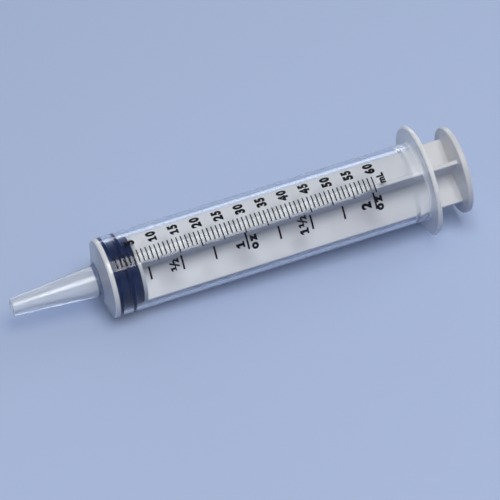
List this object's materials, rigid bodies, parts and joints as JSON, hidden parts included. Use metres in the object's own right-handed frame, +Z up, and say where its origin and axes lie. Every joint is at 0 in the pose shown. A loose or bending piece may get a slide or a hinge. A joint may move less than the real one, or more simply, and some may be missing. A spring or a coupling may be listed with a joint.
{
  "type": "catheter tip syringe",
  "caption": "Clear syringe barrel with a long tapered catheter tip, round finger flange, printed scale, rubber stopper and a cross-shaped plunger rod that slides and turns.",
  "frame": {"origin": "centre of the tip's mouth, on the axis of the barrel", "axes": "+X runs along the barrel from the tip to the thumb disc, +Z up with the syringe lying down; the scale is read from between +Z and -Y"},
  "size_m": [0.1749, 0.0422, 0.0422],
  "materials": {
    "clear_plastic": "clear moulded polypropylene, slightly bluish",
    "stopper_rubber": "dark rubber, silicone oiled",
    "rod_plastic": "satin moulded white polypropylene",
    "print_ink": "black printed ink"
  },
  "bodies": {
    "barrel": {"barrel": "clear_plastic", "ml_graduations": "print_ink", "ounce_graduations": "print_ink"},
    "stopper": {"stopper": "stopper_rubber"},
    "plunger_rod": {"plunger_rod": "rod_plastic"}
  },
  "joints": [
    {"name": "plunger_slide", "type": "slide", "parent": "barrel", "child": "stopper", "axis": [1, 0, 0], "range_m": [0, 0.108]},
    {"name": "rod_turn", "type": "hinge", "parent": "stopper", "child": "plunger_rod", "pos_m": [0.0467, 0, 0], "axis": [1, 0, 0], "continuous": true}
  ]
}
